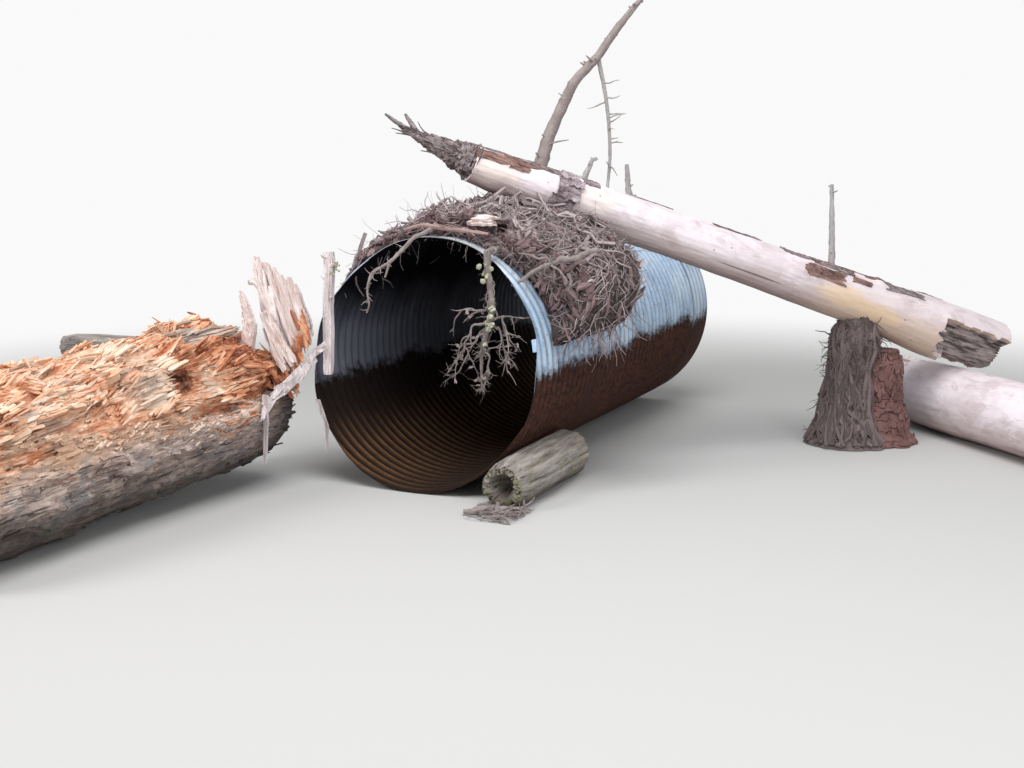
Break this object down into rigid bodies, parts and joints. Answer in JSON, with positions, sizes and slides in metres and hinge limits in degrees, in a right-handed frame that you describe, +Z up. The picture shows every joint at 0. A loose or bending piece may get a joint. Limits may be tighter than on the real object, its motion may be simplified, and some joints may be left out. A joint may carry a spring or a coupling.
{
  "type": "log-banked corrugated culvert end",
  "caption": "End of a round corrugated steel culvert, its bank held by wing logs, a header log over the crown and packed brush.",
  "frame": {"origin": "bottom centre of the whole, on the stream bed", "axes": "+Z up, +Y along the pipe into the fill, +X to the right as seen from the stream"},
  "size_m": [5.396, 5.1538, 2.4293],
  "materials": {
    "galvanised": "dull galvanised zinc, rust below the water line",
    "rotten_wood": "crumbling orange heartwood",
    "weathered_wood": "grey-brown, fissured",
    "pale_wood": "freshly split, pale",
    "bare_log": "barked, silvery tan",
    "bark": "rough bark",
    "dead_wood": "dry grey",
    "brush": "matted roots, twigs and bark"
  },
  "bodies": {
    "root": {"band_angle_left": "galvanised", "band_angle_right": "galvanised", "coupling_band": "galvanised", "crown_brush_left": "brush", "crown_brush_right": "brush", "crown_stick": "dead_wood", "crown_twig": "dead_wood", "forked_splinter": "pale_wood", "hanging_root_cluster": "dead_wood", "hanging_strip_left": "weathered_wood", "hanging_strip_right": "weathered_wood", "header_bark_flap": "bark", "header_log": "bare_log", "header_tip": "bark", "large_splinter": "pale_wood", "leaning_limb": "dead_wood", "leaning_stake": "pale_wood", "left_heartwood": "rotten_wood", "left_shell_rim": "pale_wood", "left_wing_log": "weathered_wood", "limb_branch": "dead_wood", "narrow_splinter": "pale_wood", "pale_wood_chunk": "pale_wood", "pipe_buried_length": "galvanised", "pipe_end_length": "galvanised", "pipe_seam_tab": "galvanised", "rear_left_log": "weathered_wood", "right_wing_log": "bare_log", "root_clump": "brush", "rotten_block": "rotten_wood", "short_stub_left": "dead_wood", "short_stub_right": "dead_wood", "shoulder_branch": "dead_wood", "shoulder_brush": "brush", "tall_stub": "dead_wood", "toe_log": "weathered_wood", "toe_sticks": "dead_wood"}
  },
  "joints": []
}
